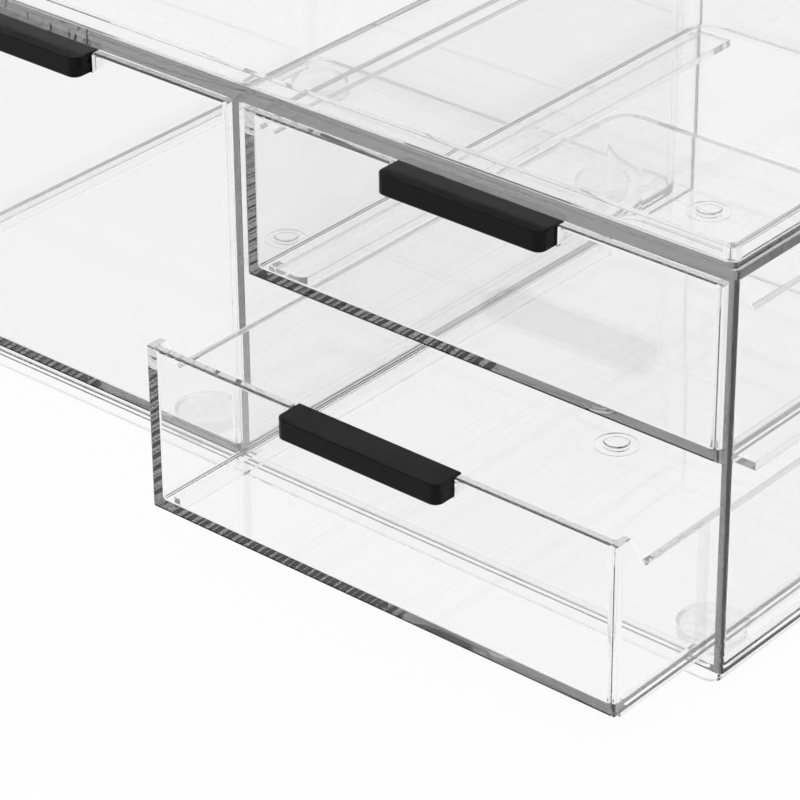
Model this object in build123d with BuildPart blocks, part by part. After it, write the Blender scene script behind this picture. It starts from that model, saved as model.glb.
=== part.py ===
from build123d import *
import os

# Clear vanity drawers: a two-column case with a rimmed tray on top, one deep drawer
# on the left and two shallow drawers on the right, each with a dark bar handle.
# Millimetres. +X right, +Y to the back, +Z up, feet on Z = 0, and the origin in the
# middle of the footprint with the lower right drawer standing open.

# ---- Driving dimensions -------------------------------------------------------------

# Case sheets
case_depth = 205.0
wall = 2.4                # side sheets, back sheet and divider
column_width = 154.6      # clear width of each column
bay_height = 107.0        # clear height from the floor to the underside of the tray
floor_thickness = 2.1
case_corner = 1.4         # round on the case's four upright corners

# Base rim and feet
rim_height = 5.0
rim_wall = 2.0
rim_inset_front = 1.6     # rim outside face, in from the case at front and back
rim_inset_side = 3.1
rim_corner = 3.6
foot_diameter = 18.0
foot_sole = 12.0          # flat that touches the table
foot_shoulder = 2.2       # height of the straight part where the foot is stuck on
foot_proud = 0.5          # below the rim
foot_setback = 15.5       # foot centre from the case front or back
foot_side_setback = 15.5  # outer foot centre from the case side
foot_middle_shift = 27.8  # middle foot centre, left of the divider centre

# Tray on top
tray_plate = 3.4
lip_height = 5.4
lip_wall = 2.1
lip_inset_front = 0.3     # lip outside face, in from the plate edge at front and back
lip_inset_side = 1.1
lip_corner = 2.2          # inside radius of the lip's four corners
lip_root = 1.8            # round where the lip meets the tray floor
lip_edge = 0.4            # bevel along the lip's top

# Drawers
side_gap = 1.3
top_gap = 1.8
back_gap = 1.0
run_gap = 0.1             # under the skids, between the sliding faces
stack_gap = 0.5           # upper drawer's skids over the lower drawer's front
front_thickness = 2.4
bin_wall = 2.2
bin_floor = 2.2
rear_corner = 9.0         # outside radius of the two rear corners
inner_corner = 1.2        # inside radius of the two front corners
floor_round = 1.0         # inside round where the walls meet the bin floor
front_edge = 0.8          # round on the four edges of the front face
side_drop = 10.3          # bin rim below the top of the front
cheek_top = 5.4           # full-height cheek behind the front face
cheek_foot = 11.0         # where the slanted cheek reaches the bin rim
skid_width = 2.0
skid_inset = 2.8          # skid outside face, in from the bin side
skid_front = 4.0
shallow_skid = 4.2
deep_skid = 0.55
open_at_rest = 38.9       # how far the lower right drawer stands out

# Moulding mark in the middle of each bin floor
mark_diameter = 12.4
mark_depth = 0.35
nub_diameter = 7.3
nub_height = 0.5

# Runners that carry the upper right drawer
runner_width = 11.0
runner_thickness = 2.2
runner_clearance = 1.4    # runner front end, behind the closed lower drawer's cheeks
runner_corner = 3.0

# Bar handles
handle_width = 52.4
handle_height = 5.8
handle_reach = 6.0        # in front of the drawer face
handle_over = 3.4         # behind the drawer face
handle_corner = 2.6
handle_edge = 0.4         # bevel round the top and along the front's foot
notch_gap = 0.6           # each side of the handle, in the top edge of the front

# ---- Levels and places worked out from them -----------------------------------------

inner_width = 2 * column_width + wall
case_width = inner_width + 2 * wall
inner_depth = case_depth - wall

foot_height = rim_height + foot_proud
floor_top = foot_height + floor_thickness
tray_z = floor_top + bay_height
sheet_height = tray_z - foot_height

front_y = -(case_depth - open_at_rest - handle_reach) / 2
back_y = front_y + case_depth
middle_y = front_y + case_depth / 2

column_x = (column_width + wall) / 2
drawer_width = column_width - 2 * side_gap
bin_depth = inner_depth - back_gap

drawer_top = tray_z - top_gap
lower_z = floor_top + run_gap + shallow_skid
shallow_height = (drawer_top - lower_z - stack_gap - shallow_skid) / 2
upper_z = drawer_top - shallow_height
deep_z = floor_top + run_gap + deep_skid
deep_height = drawer_top - deep_z
runner_top = upper_z - shallow_skid - run_gap

os.makedirs("parts", exist_ok=True)


def save(part, name):
    """Label one finished piece and write it to its own file."""
    part.label = name
    export_step(part, f"parts/{name}.step")


# ---- Base tray: floor sheet with the rim moulded under it ---------------------------

rim_plane = Plane((0, middle_y, foot_proud))
rim_width = case_width - 2 * rim_inset_side
rim_depth = case_depth - 2 * rim_inset_front
with BuildPart() as base_tray:
    with BuildSketch(Plane((0, front_y + inner_depth / 2, foot_height))):
        Rectangle(inner_width, inner_depth)
    extrude(amount=floor_thickness)
    with BuildSketch(rim_plane):
        RectangleRounded(rim_width, rim_depth, rim_corner)
        RectangleRounded(
            rim_width - 2 * rim_wall, rim_depth - 2 * rim_wall, rim_corner - rim_wall, mode=Mode.SUBTRACT
        )
    extrude(amount=rim_height)
save(base_tray.part, "base_tray")

# ---- Upright sheets: two sides, back and divider ------------------------------------

for name, side in (("left_side_panel", -1), ("right_side_panel", 1)):
    with BuildPart() as side_panel:
        with BuildSketch(Plane((side * (case_width - wall) / 2, middle_y, foot_height))) as plan:
            Rectangle(wall, case_depth)
            fillet(plan.vertices().group_by(Axis.X)[-1 if side > 0 else 0], case_corner)
        extrude(amount=sheet_height)
    save(side_panel.part, name)

with BuildPart() as back_panel:
    with BuildSketch(Plane((0, back_y - wall / 2, foot_height))):
        Rectangle(inner_width, wall)
    extrude(amount=sheet_height)
save(back_panel.part, "back_panel")

with BuildPart() as center_divider:
    with BuildSketch(Plane((0, front_y + inner_depth / 2, floor_top))):
        Rectangle(wall, inner_depth)
    extrude(amount=bay_height)
save(center_divider.part, "center_divider")

# ---- Tray on top: flat plate with a low lip all round -------------------------------

with BuildPart() as top_tray:
    with BuildSketch(Plane((0, middle_y, tray_z))):
        RectangleRounded(case_width, case_depth, case_corner)
    extrude(amount=tray_plate)
    tray_floor_z = tray_z + tray_plate
    lip_width = case_width - 2 * lip_inset_side
    lip_depth = case_depth - 2 * lip_inset_front
    with BuildSketch(Plane((0, middle_y, tray_floor_z))):
        RectangleRounded(lip_width, lip_depth, case_corner)
    extrude(amount=lip_height)
    with BuildSketch(Plane((0, middle_y, tray_floor_z))):
        RectangleRounded(lip_width - 2 * lip_wall, lip_depth - 2 * lip_wall, lip_corner)
    extrude(amount=lip_height, mode=Mode.SUBTRACT)
    at_floor = top_tray.faces().filter_by_position(Axis.Z, tray_floor_z, tray_floor_z)
    fillet(at_floor.sort_by(SortBy.AREA)[-1].edges(), lip_root)
    chamfer(top_tray.edges().group_by(Axis.Z)[-1], lip_edge)
save(top_tray.part, "top_tray")

# ---- Runners for the upper right drawer ---------------------------------------------

runner_setback = cheek_foot + runner_clearance
runner_length = inner_depth - runner_setback
runner_y = front_y + runner_setback + runner_length / 2
divider_face = wall / 2
side_face = divider_face + column_width

for name, wall_x, inward in (("divider_runner", divider_face, 1), ("side_runner", side_face, -1)):
    runner_x = wall_x + inward * runner_width / 2
    with BuildPart() as runner:
        with BuildSketch(Plane((runner_x, runner_y, runner_top - runner_thickness))) as plan:
            Rectangle(runner_width, runner_length)
            free_corner = plan.vertices().group_by(Axis.Y)[0].sort_by(Axis.X)[-1 if inward > 0 else 0]
            fillet(free_corner, runner_corner)
        extrude(amount=runner_thickness)
    save(runner.part, name)

# ---- Bumper feet, stuck under the floor inside the rim -------------------------------

outer_foot_x = case_width / 2 - foot_side_setback
foot_columns = {"left": -outer_foot_x, "middle": -foot_middle_shift, "right": outer_foot_x}
foot_rows = {"front": front_y + foot_setback, "back": back_y - foot_setback}

for row, foot_y in foot_rows.items():
    for column, foot_x in foot_columns.items():
        with BuildPart() as foot:
            with BuildSketch(Plane((foot_x, foot_y, 0), x_dir=(1, 0, 0), z_dir=(0, -1, 0))):
                with BuildLine():
                    Polyline((0, 0), (foot_sole / 2, 0), (foot_diameter / 2, foot_height - foot_shoulder),
                             (foot_diameter / 2, foot_height), (0, foot_height), close=True)
                make_face()
            revolve(axis=Axis((foot_x, foot_y, 0), (0, 0, 1)))
        save(foot.part, f"foot_{row}_{column}")

# ---- Drawers -------------------------------------------------------------------------


def build_drawer(name, base, height, skid):
    """One clear moulding: bin with round rear corners, taller front, cheeks and skids."""
    bin_rim = height - side_drop
    inside_depth = bin_depth - front_thickness - bin_wall
    across = Plane(base.origin, x_dir=(0, 1, 0), z_dir=(1, 0, 0))
    with BuildPart() as drawer:
        with BuildSketch(base) as outline:
            with Locations((0, bin_depth / 2)):
                Rectangle(drawer_width, bin_depth)
            fillet(outline.vertices().group_by(Axis.Y)[-1], rear_corner)
        extrude(amount=height)

        # Hollow, with a round where the walls meet the floor
        with BuildSketch(base.offset(bin_floor)) as hollow:
            with Locations((0, front_thickness + inside_depth / 2)):
                Rectangle(drawer_width - 2 * bin_wall, inside_depth)
            fillet(hollow.vertices().group_by(Axis.Y)[-1], rear_corner - bin_wall)
            fillet(hollow.vertices().group_by(Axis.Y)[0], inner_corner)
        extrude(amount=height, mode=Mode.SUBTRACT)
        floor_z = base.origin.Z + bin_floor
        fillet(drawer.edges().filter_by_position(Axis.Z, floor_z, floor_z), floor_round)
        fillet(drawer.faces().sort_by(Axis.Y)[0].edges(), front_edge)

        # Sides and back stop below the top of the front, behind a slanted cheek
        with BuildSketch(across):
            with BuildLine():
                Polyline((cheek_top, height + side_drop), (cheek_top, height), (cheek_foot, bin_rim),
                         (bin_depth + side_drop, bin_rim), (bin_depth + side_drop, height + side_drop),
                         close=True)
            make_face()
        extrude(amount=drawer_width, both=True, mode=Mode.SUBTRACT)

        # Skids under the two sides
        skid_length = bin_depth - rear_corner - skid_front
        with BuildSketch(base):
            with Locations((0, skid_front + skid_length / 2)):
                with GridLocations(drawer_width - 2 * skid_inset - skid_width, 0, 2, 1):
                    Rectangle(skid_width, skid_length)
        extrude(amount=-skid)

        # Notch in the top edge of the front, where the handle seats
        with BuildSketch(base.offset(height - handle_height)):
            with Locations((0, front_thickness / 2)):
                Rectangle(handle_width + 2 * notch_gap, 2 * front_thickness)
        extrude(amount=handle_height, mode=Mode.SUBTRACT)

        # Moulding mark under the middle of the floor: a shallow round with a nub in it
        with BuildSketch(base):
            with Locations((0, bin_depth / 2)):
                Circle(mark_diameter / 2)
                Circle(nub_diameter / 2, mode=Mode.SUBTRACT)
        extrude(amount=mark_depth, mode=Mode.SUBTRACT)
        with BuildSketch(base.offset(bin_floor)):
            with Locations((0, bin_depth / 2)):
                Circle(nub_diameter / 2)
        extrude(amount=nub_height)
    save(drawer.part, name)


def build_handle(name, base, height):
    """Bar that fills the notch, its top level with the top of the front."""
    handle_depth = handle_reach + handle_over
    with BuildPart() as handle:
        with BuildSketch(base.offset(height - handle_height)) as plan:
            with Locations((0, handle_over - handle_depth / 2)):
                Rectangle(handle_width, handle_depth)
            fillet(plan.vertices().group_by(Axis.Y)[0], handle_corner)
        extrude(amount=handle_height)
        chamfer(handle.edges().group_by(Axis.Z)[-1], handle_edge)
        front_face = handle.faces().sort_by(Axis.Y)[0]
        chamfer(front_face.edges().group_by(Axis.Z)[0], handle_edge)
    save(handle.part, name)


drawers = {
    "left": (Plane((-column_x, front_y, deep_z)), deep_height, deep_skid),
    "upper": (Plane((column_x, front_y, upper_z)), shallow_height, shallow_skid),
    "lower": (Plane((column_x, front_y - open_at_rest, lower_z)), shallow_height, shallow_skid),
}
for place, (base, height, skid) in drawers.items():
    build_drawer(f"{place}_drawer", base, height, skid)
    build_handle(f"{place}_handle", base, height)
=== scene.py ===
"""Clear make-up drawers: polished clear mouldings with satin black handles, in a white studio."""
import math

import bpy
from mathutils import Matrix, Vector


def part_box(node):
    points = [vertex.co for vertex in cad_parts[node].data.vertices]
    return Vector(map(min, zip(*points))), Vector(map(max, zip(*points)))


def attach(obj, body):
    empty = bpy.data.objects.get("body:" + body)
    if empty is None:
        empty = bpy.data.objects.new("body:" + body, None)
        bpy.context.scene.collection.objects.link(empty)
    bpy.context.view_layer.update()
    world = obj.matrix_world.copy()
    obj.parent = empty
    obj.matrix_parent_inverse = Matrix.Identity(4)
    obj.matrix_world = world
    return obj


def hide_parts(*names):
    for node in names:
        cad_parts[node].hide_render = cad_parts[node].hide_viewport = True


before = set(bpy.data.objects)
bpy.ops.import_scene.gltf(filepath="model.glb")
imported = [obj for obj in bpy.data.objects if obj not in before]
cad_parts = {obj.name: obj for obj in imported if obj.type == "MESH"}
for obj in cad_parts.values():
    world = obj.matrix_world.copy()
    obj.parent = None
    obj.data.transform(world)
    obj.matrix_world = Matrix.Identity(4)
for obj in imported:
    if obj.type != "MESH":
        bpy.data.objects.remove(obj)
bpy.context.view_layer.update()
MM = 0.001
NEAR = 0.01 * MM  # two levels closer than this are the same level

# ---- Sizes that the frame's boxes don't give, in metres -----------------------------------

# Case
case_corner = 1.4 * MM
tray_plate = 3.4 * MM
lip_wall = 2.1 * MM
lip_inset = Vector((1.1 * MM, 0.3 * MM, 0))
lip_corner = 2.2 * MM
lip_root = 1.8 * MM
floor_thickness = 2.1 * MM
rim_inset = Vector((3.1 * MM, 1.6 * MM, 0))
rim_wall = Vector((2.0 * MM, 2.0 * MM, 0))
rim_corner = 3.6 * MM
runner_corner = 3.0 * MM

# Drawers
front_thickness = 2.4 * MM
bin_wall = 2.2 * MM
bin_floor = 2.2 * MM
rear_corner = 9.0 * MM
inner_corner = 1.2 * MM
floor_round = 1.0 * MM
front_edge = 0.8 * MM
bottom_edge = 0.35 * MM
side_drop = 10.3 * MM
cheek_top = 5.4 * MM
cheek_foot = 11.0 * MM
skid_width = 2.0 * MM
skid_inset = 2.8 * MM
skid_front = 6.5 * MM
shallow_skid = 4.2 * MM
deep_skid = 0.55 * MM
mark_diameter = 12.4 * MM
mark_depth = 0.35 * MM
nub_diameter = 7.3 * MM
nub_height = 0.5 * MM

# Handles and feet
handle_corner = 2.6 * MM
notch_gap = 0.6 * MM
foot_sole = 12.0 * MM
foot_seat = 0.05 * MM  # the foot's top stays this far below the case floor

# Rounding of every edge that is sharp in the CAD
clear_ease = 0.14 * MM
handle_ease = 0.3 * MM
ease_angle = 30    # degrees, and flatter edges stay as they are
flat_angle = 0.2   # degrees between faces that count as one flat
merge_reach = 0.002 * MM

# Steps across each round
round_steps = 8
rear_corner_steps = 14
hollow_corner_steps = 12
bottom_edge_steps = 6
nub_steps = 3
handle_corner_steps = 10
handle_ease_steps = 3
clear_ease_steps = 2
mark_sides = 48
foot_sides = 64


# ---- Shader maths -------------------------------------------------------------------------


class Wire:
    """One output socket. Sums and products of wires add their own Math nodes."""

    def __init__(self, tree, socket):
        self.tree = tree
        self.socket = socket

    def _math(self, operation, *values):
        return self.tree.node("ShaderNodeMath", {"operation": operation}, dict(enumerate(values)))[0]

    def __add__(self, other):
        return self._math("ADD", self, other)

    def __mul__(self, other):
        return self._math("MULTIPLY", self, other)

    def at_least(self, other):
        return self._math("MAXIMUM", self, other)

    __radd__ = __add__
    __rmul__ = __mul__


class Shading:
    """A node tree that hands out its nodes' outputs as wires."""

    def __init__(self, tree):
        self.tree = tree
        tree.nodes.clear()

    def node(self, kind, settings=None, inputs=None):
        made = self.tree.nodes.new(kind)
        for name, value in (settings or {}).items():
            setattr(made, name, value)
        for name, value in (inputs or {}).items():
            if isinstance(value, Wire):
                self.tree.links.new(value.socket, made.inputs[name])
            else:
                made.inputs[name].default_value = value
        return [Wire(self, socket) for socket in made.outputs]

    def object_place(self):
        return self.node("ShaderNodeTexCoord")[3]

    def smooth_step(self, value, low, high, start, end):
        """Start below low, end above high, and a smooth change between them."""
        levels = {"Value": value, "From Min": low, "From Max": high, "To Min": start, "To Max": end}
        return self.node("ShaderNodeMapRange", {"interpolation_type": "SMOOTHSTEP"}, levels)[0]


def new_material(name):
    material = bpy.data.materials.new(name)
    material.use_nodes = True
    return material, Shading(material.node_tree)


# ---- Modelling helpers --------------------------------------------------------------------


def only(piece):
    """Leave just this piece selected and active."""
    bpy.ops.object.select_all(action="DESELECT")
    piece.select_set(True)
    bpy.context.view_layer.objects.active = piece


def settle(name):
    """Name the primitive just added and move its place into its mesh."""
    piece = bpy.context.object
    piece.name = piece.data.name = name
    bpy.ops.object.transform_apply(location=True, rotation=True, scale=True)
    return piece


def block(name, low, high):
    """A cube primitive stretched between two corners."""
    low, high = Vector(low), Vector(high)
    bpy.ops.object.select_all(action="DESELECT")
    bpy.ops.mesh.primitive_cube_add(size=1, location=(low + high) / 2, scale=high - low)
    return settle(name)


def disc(name, centre, diameter, low, high, sides=mark_sides):
    """An upright cylinder between two levels."""
    bpy.ops.object.select_all(action="DESELECT")
    bpy.ops.mesh.primitive_cylinder_add(
        vertices=sides,
        radius=diameter / 2,
        depth=high - low,
        location=(centre.x, centre.y, (low + high) / 2),
    )
    return settle(name)


def upright(a, b):
    """Whether the edge from a to b stands on end."""
    return abs(a.z - b.z) > abs(a.x - b.x) + abs(a.y - b.y)


def round_edges(piece, pick, radius, segments=round_steps):
    """Bevel the edges whose two ends satisfy pick(a, b)."""
    only(piece)
    bpy.ops.object.mode_set(mode="EDIT")
    bpy.ops.mesh.select_mode(type="EDGE")
    bpy.ops.mesh.select_all(action="DESELECT")
    bpy.ops.object.mode_set(mode="OBJECT")
    points = piece.data.vertices
    for edge in piece.data.edges:
        edge.select = pick(points[edge.vertices[0]].co, points[edge.vertices[1]].co)
    bpy.ops.object.mode_set(mode="EDIT")
    bpy.ops.mesh.bevel(offset=radius, segments=segments, affect="EDGES")
    bpy.ops.object.mode_set(mode="OBJECT")


def combine(piece, tool, operation):
    """Weld a tool onto a piece or cut it away, and use the tool up."""
    step = piece.modifiers.new(operation.lower(), "BOOLEAN")
    step.operation = operation
    step.solver = "EXACT"
    step.object = tool
    only(piece)
    bpy.ops.object.modifier_apply(modifier=step.name)
    bpy.data.objects.remove(tool)


def finish_edges(piece, width, segments=clear_ease_steps):
    """Merge what the cuts left split, ease every sharp edge a little and shade the flats flat."""
    only(piece)
    bpy.ops.object.mode_set(mode="EDIT")
    bpy.ops.mesh.select_all(action="SELECT")
    bpy.ops.mesh.remove_doubles(threshold=merge_reach)
    bpy.ops.mesh.dissolve_limited(angle_limit=math.radians(flat_angle))
    bpy.ops.mesh.normals_make_consistent(inside=False)
    bpy.ops.object.mode_set(mode="OBJECT")
    ease = piece.modifiers.new("ease", "BEVEL")
    ease.width = width
    ease.segments = segments
    ease.limit_method = "ANGLE"
    ease.angle_limit = math.radians(ease_angle)
    bpy.ops.object.modifier_apply(modifier=ease.name)
    bpy.ops.object.shade_smooth()
    weigh = piece.modifiers.new("weigh", "WEIGHTED_NORMAL")
    weigh.mode = "FACE_AREA"
    weigh.weight = 100
    bpy.ops.object.modifier_apply(modifier=weigh.name)


def dress(piece, body, material, slot, *replaced):
    """Give a finished piece its material and its body, and hide the CAD nodes that it stands for."""
    piece.data.materials.clear()
    piece.data.materials.append(material)
    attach(piece, body)
    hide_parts(*replaced)


# ---- Materials ----------------------------------------------------------------------------

# Clear plastic
clear_white = (0.995, 0.995, 0.995, 1)
clear_index = 1.49  # of refraction
clarity = 0.993     # what a surface lets through, and the rest is haze
darkening = 5.2     # how fast light fades in the plastic, per metre
ripple_scale = 16.0
ripple_depth = 0.1 * MM

# Foot rubber
rubber_index = 1.2
rubber_roughness = 0.15
patch_scale = 420.0
patch_levels = (0.42, 0.6)  # noise below the first is cloudy, and above the second clear
patch_whites = (0.86, 0.98)

# Handles
handle_colour = (0.002, 0.002, 0.0022, 1)
handle_index = 1.5
handle_shine = 0.12
handle_roughness = 0.22
grain_scale = 2600.0
grain_depth = 0.02 * MM
grain_strength = 0.08
grain_roughness = 0.06  # what the grain adds at most


def clear_plastic(name):
    """Polished clear plastic: a faint haze, a little darkening with depth, and moulded ripple."""
    material, shade = new_material(name)
    ripple = shade.node(
        "ShaderNodeTexNoise", inputs={"Vector": shade.object_place(), "Scale": ripple_scale, "Detail": 1.0}
    )[0]
    flow = shade.node("ShaderNodeBump", inputs={"Height": ripple, "Distance": ripple_depth})[0]
    body = shade.node(
        "ShaderNodeBsdfPrincipled",
        inputs={
            "Base Color": clear_white,
            "Roughness": 0.0,
            "IOR": clear_index,
            "Transmission Weight": clarity,
            "Normal": flow,
        },
    )[0]
    depth = shade.node("ShaderNodeVolumeAbsorption", inputs={"Color": (0, 0, 0, 1), "Density": darkening})
    shade.node("ShaderNodeOutputMaterial", inputs={"Surface": body, "Volume": depth[0]})
    return material


def soft_clear(name):
    """Milky clear rubber, with the cloudy patches of a stuck-on foot."""
    material, shade = new_material(name)
    patch = shade.node(
        "ShaderNodeTexNoise", inputs={"Vector": shade.object_place(), "Scale": patch_scale, "Detail": 2.0}
    )[0]
    pale = shade.smooth_step(patch, *patch_levels, *patch_whites)
    body = shade.node(
        "ShaderNodeBsdfPrincipled",
        inputs={
            "Base Color": pale,
            "Roughness": rubber_roughness,
            "IOR": rubber_index,
            "Transmission Weight": 1.0,
        },
    )[0]
    shade.node("ShaderNodeOutputMaterial", inputs={"Surface": body})
    return material


def satin_black(name):
    """Near black plastic with a fine satin grain."""
    material, shade = new_material(name)
    grain = shade.node(
        "ShaderNodeTexNoise", inputs={"Vector": shade.object_place(), "Scale": grain_scale, "Detail": 2.0}
    )[0]
    raised = shade.node(
        "ShaderNodeBump", inputs={"Height": grain, "Strength": grain_strength, "Distance": grain_depth}
    )[0]
    body = shade.node(
        "ShaderNodeBsdfPrincipled",
        inputs={
            "Base Color": handle_colour,
            "Roughness": handle_roughness + grain_roughness * grain,
            "IOR": handle_index,
            "Specular IOR Level": handle_shine,
            "Normal": raised,
        },
    )[0]
    shade.node("ShaderNodeOutputMaterial", inputs={"Surface": body})
    return material


case_clear = clear_plastic("case_clear")
drawer_clear = clear_plastic("drawer_clear")
foot_clear = soft_clear("foot_clear")
handle_black = satin_black("handle_black")

# ---- Case: sheets, base tray, top tray and runners, bonded into one clear shell -----------


def cut_bays(shell):
    """Open the two columns through the front, leaving the sheets round them."""
    left_low, left_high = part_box("left_side_panel")
    right_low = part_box("right_side_panel")[0]
    divider_low, divider_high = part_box("center_divider")
    floor_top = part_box("base_tray")[1].z
    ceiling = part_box("top_tray")[0].z
    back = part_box("back_panel")[0].y
    before = left_low.y - front_thickness
    for x0, x1 in ((left_high.x, divider_low.x), (divider_high.x, right_low.x)):
        bay = block("bay", (x0, before, floor_top), (x1, back, ceiling))
        combine(shell, bay, "DIFFERENCE")


def raise_lip(shell):
    """The tray's low lip, with a round where it meets the plate."""
    low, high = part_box("top_tray")
    plate_top = Vector((low.x, low.y, low.z + tray_plate))
    lip = block("lip", plate_top + lip_inset - Vector((0, 0, tray_plate / 2)), high - lip_inset)
    round_edges(lip, upright, case_corner)
    combine(shell, lip, "UNION")
    inside = lip_inset + Vector((lip_wall, lip_wall, 0))
    well = block("well", plate_top + inside, high - inside + Vector((0, 0, tray_plate)))
    round_edges(well, upright, lip_corner)
    round_edges(well, lambda a, b: max(a.z, b.z) < plate_top.z + NEAR, lip_root)
    combine(shell, well, "DIFFERENCE")


def add_rim(shell, low, high):
    """The rim moulded under the floor."""
    rim_low = Vector((low.x, low.y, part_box("base_tray")[0].z)) + rim_inset
    rim_high = Vector((high.x, high.y, low.z + floor_thickness / 2)) - rim_inset
    rim = block("rim", rim_low, rim_high)
    round_edges(rim, upright, rim_corner)
    combine(shell, rim, "UNION")
    below = Vector((0, 0, floor_thickness))
    under = block("under", rim_low + rim_wall - below, rim_high - rim_wall - below / 2)
    round_edges(under, upright, rim_corner - rim_wall.x)
    combine(shell, under, "DIFFERENCE")


def add_runner(shell, node, inward):
    """A ledge that reaches inward from its wall, let into the sheets a little."""
    low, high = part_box(node)
    free_x = high.x if inward > 0 else low.x
    bite = 0.2 * (high.z - low.z)
    high.y += bite
    if inward > 0:
        low.x -= bite
    else:
        high.x += bite
    middle_y = (low.y + high.y) / 2
    runner = block(node, low, high)
    round_edges(
        runner, lambda a, b: upright(a, b) and abs(a.x - free_x) < NEAR and a.y < middle_y, runner_corner
    )
    combine(shell, runner, "UNION")


def build_case():
    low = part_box("left_side_panel")[0]
    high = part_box("right_side_panel")[1]
    high.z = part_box("top_tray")[0].z + tray_plate
    shell = block("case_shell", low, high)
    round_edges(shell, upright, case_corner)
    cut_bays(shell)
    raise_lip(shell)
    add_rim(shell, low, high)
    add_runner(shell, "divider_runner", 1)
    add_runner(shell, "side_runner", -1)
    finish_edges(shell, clear_ease)
    return shell


dress(
    build_case(), "case", case_clear, "clear_case",
    "base_tray", "left_side_panel", "right_side_panel", "back_panel", "center_divider",
    "top_tray", "divider_runner", "side_runner",
)

# ---- Drawers ------------------------------------------------------------------------------


def hollow_out(drawer, low, high, floor_z):
    """Cut the bin's inside, near sharp at the front and round at the back."""
    face = low.y + front_thickness
    rear = high.y - bin_wall
    hollow = block(
        "hollow", (low.x + bin_wall, face, floor_z), (high.x - bin_wall, rear, high.z + bin_floor)
    )
    round_edges(
        hollow,
        lambda a, b: upright(a, b) and a.y > rear - NEAR,
        rear_corner - bin_wall,
        hollow_corner_steps,
    )
    round_edges(hollow, lambda a, b: upright(a, b) and a.y < face + NEAR, inner_corner)
    round_edges(hollow, lambda a, b: max(a.z, b.z) < floor_z + NEAR, floor_round)
    combine(drawer, hollow, "DIFFERENCE")


def lower_sides(drawer, low, high):
    """Take the sides and back down to the bin rim, behind a slanted cheek."""
    reach = Vector((bin_wall, bin_wall, bin_wall))
    over = block("over", (low.x - reach.x, low.y + cheek_top, high.z - side_drop), high + reach)
    middle_y = (low.y + high.y) / 2
    slope = (cheek_foot - cheek_top) / side_drop
    for point in over.data.vertices:
        if point.co.y < middle_y:
            point.co.y = low.y + cheek_top + slope * (high.z - point.co.z)
    combine(drawer, over, "DIFFERENCE")


def add_skids(drawer, low, high, bottom):
    for wall_x, inward in ((low.x, 1), (high.x, -1)):
        outer = wall_x + inward * skid_inset
        inner = outer + inward * skid_width
        rail = block(
            "rail",
            (min(outer, inner), low.y + skid_front, low.z),
            (max(outer, inner), high.y - rear_corner, bottom + bin_floor / 2),
        )
        combine(drawer, rail, "UNION")


def stamp_mark(drawer, low, high, bottom):
    """The moulding mark in the middle of the floor: a shallow round below and a nub above."""
    centre = (low + high) / 2
    pit = disc("pit", centre, mark_diameter, bottom - bin_floor, bottom + mark_depth)
    core = disc("core", centre, nub_diameter, bottom - 2 * bin_floor, bottom + bin_floor)
    combine(pit, core, "DIFFERENCE")
    combine(drawer, pit, "DIFFERENCE")
    top = bottom + bin_floor + nub_height
    nub = disc("nub", centre, nub_diameter, bottom + bin_floor / 2, top)
    round_edges(nub, lambda a, b: min(a.z, b.z) > top - NEAR, nub_height / 2, nub_steps)
    combine(drawer, nub, "UNION")


def cut_notch(drawer, low, high, handle):
    handle_low, handle_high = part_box(handle)
    notch = block(
        "notch",
        (handle_low.x - notch_gap, low.y - front_thickness, handle_low.z),
        (handle_high.x + notch_gap, low.y + 1.5 * front_thickness, high.z + front_thickness),
    )
    combine(drawer, notch, "DIFFERENCE")


def build_drawer(node, skid, handle):
    low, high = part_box(node)
    bottom = low.z + skid
    drawer = block(node + "_bin", (low.x, low.y, bottom), high)
    round_edges(
        drawer, lambda a, b: upright(a, b) and a.y > high.y - NEAR, rear_corner, rear_corner_steps
    )
    round_edges(
        drawer,
        lambda a, b: max(a.z, b.z) < bottom + NEAR and max(a.y, b.y) > low.y + NEAR,
        bottom_edge,
        bottom_edge_steps,
    )
    round_edges(drawer, lambda a, b: max(a.y, b.y) < low.y + NEAR, front_edge)
    hollow_out(drawer, low, high, bottom + bin_floor)
    lower_sides(drawer, low, high)
    add_skids(drawer, low, high, bottom)
    stamp_mark(drawer, low, high, bottom)
    cut_notch(drawer, low, high, handle)
    finish_edges(drawer, clear_ease)
    return drawer


# ---- Handles ------------------------------------------------------------------------------


def build_handle(node):
    low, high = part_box(node)
    handle = block(node + "_bar", low, high)
    round_edges(
        handle, lambda a, b: upright(a, b) and a.y < low.y + NEAR, handle_corner, handle_corner_steps
    )
    finish_edges(handle, handle_ease, handle_ease_steps)
    return handle


skids = {"left": deep_skid, "upper": shallow_skid, "lower": shallow_skid}
for place, skid in skids.items():
    body = f"{place}_drawer_body"
    node = f"{place}_drawer"
    handle_node = f"{place}_handle"
    dress(build_drawer(node, skid, handle_node), body, drawer_clear, "clear_drawer", node)
    dress(build_handle(handle_node), body, handle_black, "black_handle", handle_node)

# ---- Feet ---------------------------------------------------------------------------------


def build_foot(node):
    """A bumper: a straight shoulder stuck to the floor, and a round flank down to the sole."""
    low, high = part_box(node)
    centre = (low + high) / 2
    foot = disc(node + "_pad", centre, high.x - low.x, low.z, high.z - foot_seat, foot_sides)
    flank = (high.x - low.x - foot_sole) / 2
    round_edges(foot, lambda a, b: max(a.z, b.z) < low.z + NEAR, flank)
    finish_edges(foot, clear_ease)
    return foot


for name in sorted(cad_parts):
    if name.startswith("foot_"):
        dress(build_foot(name), "case", foot_clear, "clear_foot", name)

# ---- Studio: white floor and white surroundings -------------------------------------------

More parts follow.
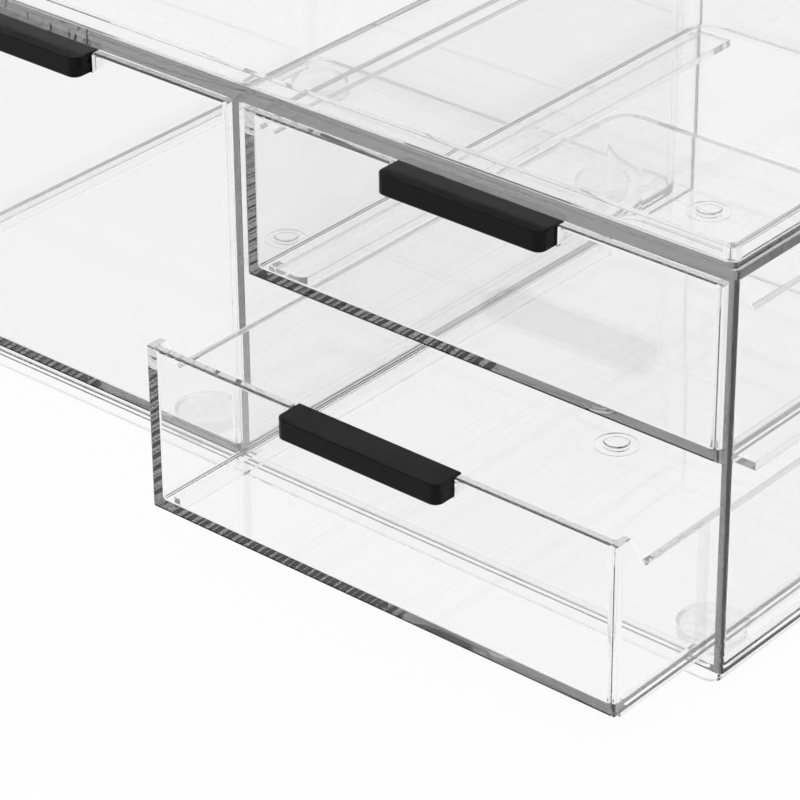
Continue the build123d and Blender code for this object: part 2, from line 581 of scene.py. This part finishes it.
floor_size = 6
floor_level = -0.03 * MM  # just under the feet
paper_white = (0.95, 0.95, 0.95, 1)
paper_share = 0.03        # how much of the floor's white comes from the light on it
world_slope = Vector((-0.5, 1.0, 1.1))  # the world gets brighter this way
dim_to = 0.4              # full white above this place along the slope
dim_from = -0.6           # full dimness below this place
dim_level = 0.3


def build_floor():
    """White paper that glows where it is seen, with a small share left to show the shadow."""
    bpy.ops.object.select_all(action="DESELECT")
    bpy.ops.mesh.primitive_plane_add(size=floor_size, location=(0, 0, floor_level))
    floor = settle("floor")
    material, shade = new_material("white_floor")
    seen = shade.node("ShaderNodeLightPath")
    straight = seen[0].at_least(seen[3]).at_least(seen[6])
    paper = shade.node("ShaderNodeBsdfDiffuse", inputs={"Color": paper_white})[0]
    glow = shade.node("ShaderNodeEmission", inputs={"Color": (1, 1, 1, 1), "Strength": 1.0})[0]
    both = shade.node("ShaderNodeMixShader", inputs={0: straight * (1 - paper_share), 1: paper, 2: glow})[0]
    shade.node("ShaderNodeOutputMaterial", inputs={"Surface": both})
    floor.data.materials.append(material)


def build_world():
    """White behind the object and overhead, and dimmer low down on the camera's side."""
    world = bpy.data.worlds.new("studio")
    bpy.context.scene.world = world
    world.use_nodes = True
    shade = Shading(world.node_tree)
    way = shade.node("ShaderNodeSeparateXYZ", inputs={"Vector": shade.node("ShaderNodeTexCoord")[0]})
    away = world_slope.x * way[0] + world_slope.y * way[1] + world_slope.z * way[2]
    lit = shade.smooth_step(away, dim_from, dim_to, dim_level, 1.0)
    level = lit.at_least(shade.node("ShaderNodeLightPath")[0])
    glow = shade.node("ShaderNodeBackground", inputs={"Color": (1, 1, 1, 1), "Strength": level})[0]
    shade.node("ShaderNodeOutputWorld", inputs={"Surface": glow})


build_floor()
build_world()

# ---- Camera -------------------------------------------------------------------------------

camera_place = Vector((0.58352, -0.69667, 0.51440))
camera_azimuth = math.radians(40.591)
camera_elevation = math.radians(28.408)
camera_roll = math.radians(-0.498)
focal_pixels = 3645.9
principal_y = 300.0  # pixels from the top of the frame down to the lens axis
frame_pixels = 800
sensor_width = 36
nearest_seen = 0.05


def build_camera():
    forward = Vector((
        -math.sin(camera_azimuth) * math.cos(camera_elevation),
        math.cos(camera_azimuth) * math.cos(camera_elevation),
        -math.sin(camera_elevation),
    ))
    level = Vector((math.cos(camera_azimuth), math.sin(camera_azimuth), 0))
    above = level.cross(forward)
    right = math.cos(camera_roll) * level + math.sin(camera_roll) * above
    up = right.cross(forward)
    turn = Matrix((right, up, -forward)).transposed()
    data = bpy.data.cameras.new("camera")
    data.sensor_width = sensor_width
    data.lens = focal_pixels * sensor_width / frame_pixels
    data.shift_y = (principal_y - frame_pixels / 2) / frame_pixels
    data.clip_start = nearest_seen
    camera = bpy.data.objects.new("camera", data)
    bpy.context.scene.collection.objects.link(camera)
    camera.matrix_world = Matrix.Translation(camera_place) @ turn.to_4x4()
    bpy.context.scene.camera = camera


build_camera()
bpy.context.scene.view_settings.view_transform = "Standard"

# Light in thick clear walls bounces many times before it gets out
clear_bounces = 48
diffuse_bounces = 8
cycles = bpy.context.scene.cycles
cycles.max_bounces = cycles.glossy_bounces = cycles.transmission_bounces = clear_bounces
cycles.diffuse_bounces = diffuse_bounces
